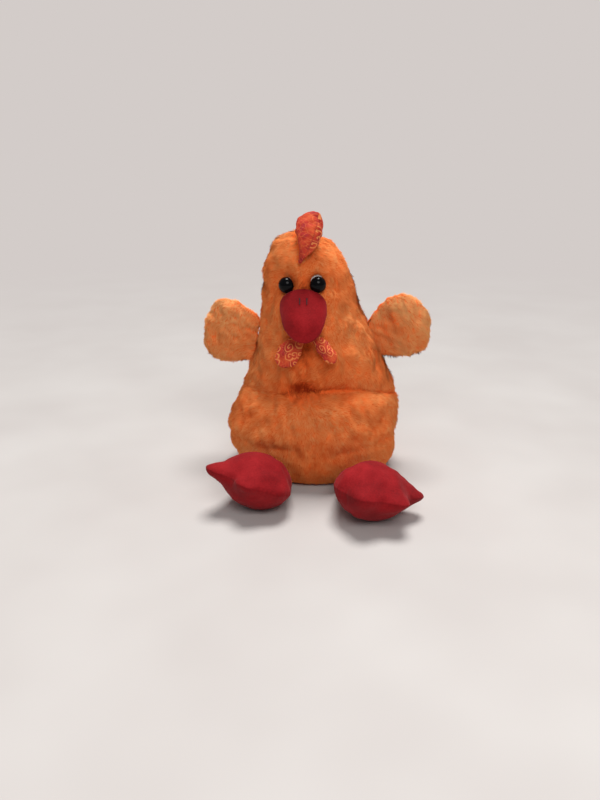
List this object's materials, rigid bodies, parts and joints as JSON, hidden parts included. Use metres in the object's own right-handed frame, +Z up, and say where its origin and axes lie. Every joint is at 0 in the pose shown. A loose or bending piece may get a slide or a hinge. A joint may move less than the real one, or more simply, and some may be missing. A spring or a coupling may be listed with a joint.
{
  "type": "plush chicken toy",
  "caption": "Sitting stuffed toy chicken in orange pile fabric, with swinging wings, feet that lift, a floppy comb and a pair of wattles.",
  "frame": {"origin": "centre of the flat seat, on the surface that the toy sits on", "axes": "+Z up, -Y the way the face looks, +X towards the toy's own left (the viewer's right from the front)"},
  "size_m": [0.1845, 0.1881, 0.2062],
  "materials": {
    "orange_plush": "short pile, brushed",
    "red_velour": "low nap, suede-like",
    "printed_cotton": "smooth woven print",
    "polyester_fibre": "loose fibre",
    "bag_cloth": "plain weave",
    "orange_thread": "twisted thread",
    "dark_thread": "twisted thread",
    "black_plastic": "polished",
    "washer_plastic": "moulded",
    "pellet_plastic": "tumbled"
  },
  "bodies": {
    "body": {"left_face_panel": "orange_plush", "right_face_panel": "orange_plush", "left_belly_panel": "orange_plush", "right_belly_panel": "orange_plush", "left_back_panel": "orange_plush", "right_back_panel": "orange_plush", "base_panel": "orange_plush", "body_stuffing": "polyester_fibre", "closing_stitches": "orange_thread", "pellet_bag": "bag_cloth", "pellets": "pellet_plastic", "left_eye": "black_plastic", "right_eye": "black_plastic", "left_eye_washer": "washer_plastic", "right_eye_washer": "washer_plastic", "beak_top_panel": "red_velour", "beak_under_panel": "red_velour", "beak_stuffing": "polyester_fibre", "nostril_stitches": "dark_thread"},
    "left_wing": {"left_wing_front": "orange_plush", "left_wing_back": "orange_plush", "left_wing_stuffing": "polyester_fibre"},
    "right_wing": {"right_wing_front": "orange_plush", "right_wing_back": "orange_plush", "right_wing_stuffing": "polyester_fibre"},
    "left_foot": {"left_foot_top": "red_velour", "left_foot_sole": "red_velour", "left_foot_stuffing": "polyester_fibre"},
    "right_foot": {"right_foot_top": "red_velour", "right_foot_sole": "red_velour", "right_foot_stuffing": "polyester_fibre"},
    "comb": {"comb_left_panel": "printed_cotton", "comb_right_panel": "printed_cotton", "comb_stuffing": "polyester_fibre"},
    "left_wattle": {"left_wattle_front": "printed_cotton", "left_wattle_back": "printed_cotton", "left_wattle_stuffing": "polyester_fibre"},
    "right_wattle": {"right_wattle_front": "printed_cotton", "right_wattle_back": "printed_cotton", "right_wattle_stuffing": "polyester_fibre"}
  },
  "joints": [
    {"name": "left_wing_swing", "type": "hinge", "parent": "body", "child": "left_wing", "pos_m": [0.0492, 0, 0.10726], "axis": [0.4397, 0, -0.8981], "range_deg": [-35, 40], "stiffness_Nm_per_rad": 0.04},
    {"name": "right_wing_swing", "type": "hinge", "parent": "body", "child": "right_wing", "pos_m": [-0.04965, 0, 0.1071], "axis": [0.16, 0, 0.9871], "range_deg": [-18, 60], "stiffness_Nm_per_rad": 0.04},
    {"name": "left_foot_lift", "type": "hinge", "parent": "body", "child": "left_foot", "pos_m": [0.0348, -0.05603, 0.0137], "axis": [-0.9881, -0.0046, 0.1536], "range_deg": [0, 25], "stiffness_Nm_per_rad": 0.03},
    {"name": "right_foot_lift", "type": "hinge", "parent": "body", "child": "right_foot", "pos_m": [-0.03268, -0.05225, 0.01175], "axis": [-0.8774, 0.4295, 0.2139], "range_deg": [0, 17], "stiffness_Nm_per_rad": 0.03},
    {"name": "comb_flop", "type": "hinge", "parent": "body", "child": "comb", "pos_m": [-0.01286, -0.02193, 0.18419], "axis": [-0.0216, -0.7952, -0.6059], "range_deg": [-12, 60], "stiffness_Nm_per_rad": 0.01},
    {"name": "left_wattle_lift", "type": "hinge", "parent": "body", "child": "left_wattle", "pos_m": [-0.00203, -0.04348, 0.11917], "axis": [-0.7801, -0.1414, -0.6095], "range_deg": [0, 40], "stiffness_Nm_per_rad": 0.004},
    {"name": "right_wattle_lift", "type": "hinge", "parent": "body", "child": "right_wattle", "pos_m": [-0.01224, -0.04238, 0.11914], "axis": [-0.8322, 0.2768, 0.4805], "range_deg": [0, 40], "stiffness_Nm_per_rad": 0.004}
  ]
}
